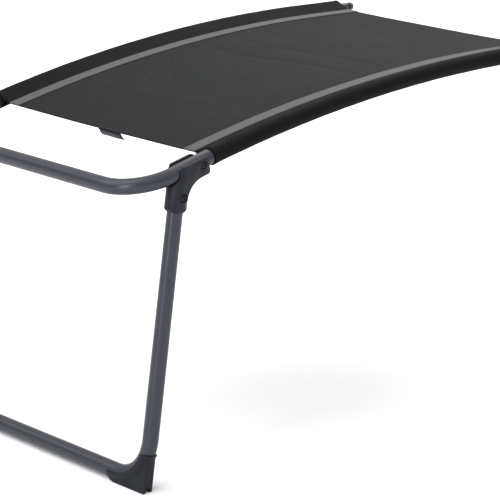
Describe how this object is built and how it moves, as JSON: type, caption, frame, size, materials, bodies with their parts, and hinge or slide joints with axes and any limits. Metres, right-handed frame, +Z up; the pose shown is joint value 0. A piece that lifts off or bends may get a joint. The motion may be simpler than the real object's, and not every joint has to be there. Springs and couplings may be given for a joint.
{
  "type": "folding leg rest for a reclining garden chair",
  "caption": "Folding leg rest for a reclining garden chair: arched tube frame with a tight mesh sling on a hinged U-shaped leg with corner feet.",
  "frame": {"origin": "on the floor, under the middle of the bounding box", "axes": "+Z up, +Y from the foot end towards the chair, +X to the right"},
  "size_m": [0.4852, 0.8835, 0.5058],
  "materials": {
    "tube_metal": "satin anthracite, anodised",
    "peg_metal": "turned",
    "nylon": "fine moulded grain",
    "mesh_fabric": "coated polyester mesh",
    "sleeve_fabric": "coated polyester mesh, double layer",
    "seam_tape": "flat woven tape",
    "label_cloth": "woven label",
    "bolt_steel": "zinc plated"
  },
  "bodies": {
    "rest_frame": {"upper_frame_tube": "tube_metal", "rail_peg_left": "peg_metal", "rail_peg_right": "peg_metal", "rail_end_bush_left": "nylon", "rail_end_bush_right": "nylon", "sling_panel": "mesh_fabric", "sling_sleeve_left": "sleeve_fabric", "sling_sleeve_right": "sleeve_fabric", "seam_tape_left": "seam_tape", "seam_tape_right": "seam_tape", "sling_label": "label_cloth", "pivot_bush_left": "bolt_steel", "pivot_bush_right": "bolt_steel"},
    "leg_assembly": {"leg_frame_tube": "tube_metal", "bracket_outer_left": "nylon", "bracket_outer_right": "nylon", "bracket_inner_left": "nylon", "bracket_inner_right": "nylon", "corner_foot_left": "nylon", "corner_foot_right": "nylon", "pivot_bolt_left": "bolt_steel", "pivot_bolt_right": "bolt_steel", "pivot_nut_left": "bolt_steel", "pivot_nut_right": "bolt_steel", "leg_bolt_left": "bolt_steel", "leg_bolt_right": "bolt_steel", "leg_nut_left": "bolt_steel", "leg_nut_right": "bolt_steel"}
  },
  "joints": [
    {"name": "leg_fold", "type": "hinge", "parent": "rest_frame", "child": "leg_assembly", "pos_m": [0, -0.32609, 0.43986], "axis": [1, 0, 0], "range_deg": [0, 105]}
  ]
}
